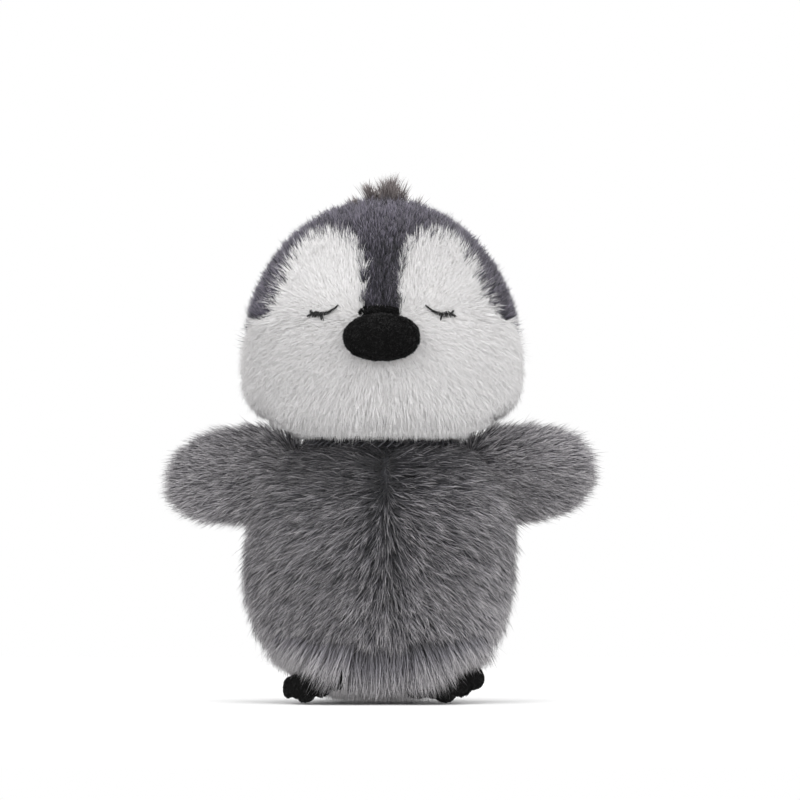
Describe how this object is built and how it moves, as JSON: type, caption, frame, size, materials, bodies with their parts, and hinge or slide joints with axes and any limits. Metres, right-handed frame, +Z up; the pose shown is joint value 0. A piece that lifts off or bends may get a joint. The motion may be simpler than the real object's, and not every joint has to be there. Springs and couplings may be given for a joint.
{
  "type": "plush penguin",
  "caption": "Stuffed baby penguin toy in long grey fur with a white face, sleeping embroidered eyes, a black nose, stub wings and webbed feet.",
  "frame": {"origin": "centre of the flat base panel, on the surface that the toy stands on", "axes": "+Z up, -Y is the way the face looks, +X is the toy's own left"},
  "size_m": [0.21, 0.1305, 0.2511],
  "materials": {
    "body_fur": "long grey plush fur",
    "hood_fur": "dark slate plush fur",
    "face_fur": "white plush fur",
    "stuffing": "loose polyester fibre",
    "black_pile": "short-pile black velour",
    "black_thread": "satin embroidery thread",
    "grey_thread": "sewing thread"
  },
  "bodies": {
    "torso": {"belly_panel_left": "body_fur", "belly_panel_right": "body_fur", "back_panel_left": "body_fur", "back_panel_right": "body_fur", "base_panel": "body_fur", "torso_stuffing": "stuffing", "neck_stuffing": "stuffing", "closing_stitches": "grey_thread"},
    "neck": {"neck_seam": "grey_thread"},
    "head": {"crown_gusset": "hood_fur", "hood_panel_left": "hood_fur", "hood_panel_right": "hood_fur", "face_panel_left": "face_fur", "face_panel_right": "face_fur", "chin_panel": "face_fur", "head_stuffing": "stuffing", "nose_cover": "black_pile", "nose_stuffing": "stuffing", "nose_bridge": "black_thread", "eye_left": "black_thread", "eye_right": "black_thread", "crown_tuft": "hood_fur"},
    "wing_left": {"wing_left_front": "body_fur", "wing_left_back": "body_fur", "wing_left_stuffing": "stuffing"},
    "wing_right": {"wing_right_front": "body_fur", "wing_right_back": "body_fur", "wing_right_stuffing": "stuffing"},
    "foot_left": {"foot_left_top": "black_pile", "foot_left_sole": "black_pile", "foot_left_stuffing": "stuffing"},
    "foot_right": {"foot_right_top": "black_pile", "foot_right_sole": "black_pile", "foot_right_stuffing": "stuffing"}
  },
  "joints": [
    {"name": "head_turn", "type": "hinge", "parent": "torso", "child": "neck", "pos_m": [0, 0, 0.095], "axis": [0, 0, 1], "range_deg": [-25, 25], "stiffness_Nm_per_rad": 0.3},
    {"name": "head_nod", "type": "hinge", "parent": "neck", "child": "head", "pos_m": [0, 0, 0.095], "axis": [1, 0, 0], "range_deg": [-10, 10], "stiffness_Nm_per_rad": 1},
    {"name": "wing_left_swing", "type": "hinge", "parent": "torso", "child": "wing_left", "pos_m": [0.063, 0, 0.103], "axis": [-0.1392, 0, 0.9903], "range_deg": [-30, 30], "stiffness_Nm_per_rad": 0.05},
    {"name": "wing_right_swing", "type": "hinge", "parent": "torso", "child": "wing_right", "pos_m": [-0.063, 0, 0.103], "axis": [0.1392, 0, 0.9903], "range_deg": [-30, 30], "stiffness_Nm_per_rad": 0.05},
    {"name": "foot_left_flex", "type": "hinge", "parent": "torso", "child": "foot_left", "pos_m": [0.032, -0.043, 0.0214], "axis": [-0.829, -0.5592, 0], "range_deg": [-5, 55], "stiffness_Nm_per_rad": 0.03},
    {"name": "foot_right_flex", "type": "hinge", "parent": "torso", "child": "foot_right", "pos_m": [-0.032, -0.043, 0.0214], "axis": [-0.829, 0.5592, 0], "range_deg": [-5, 55], "stiffness_Nm_per_rad": 0.03}
  ]
}
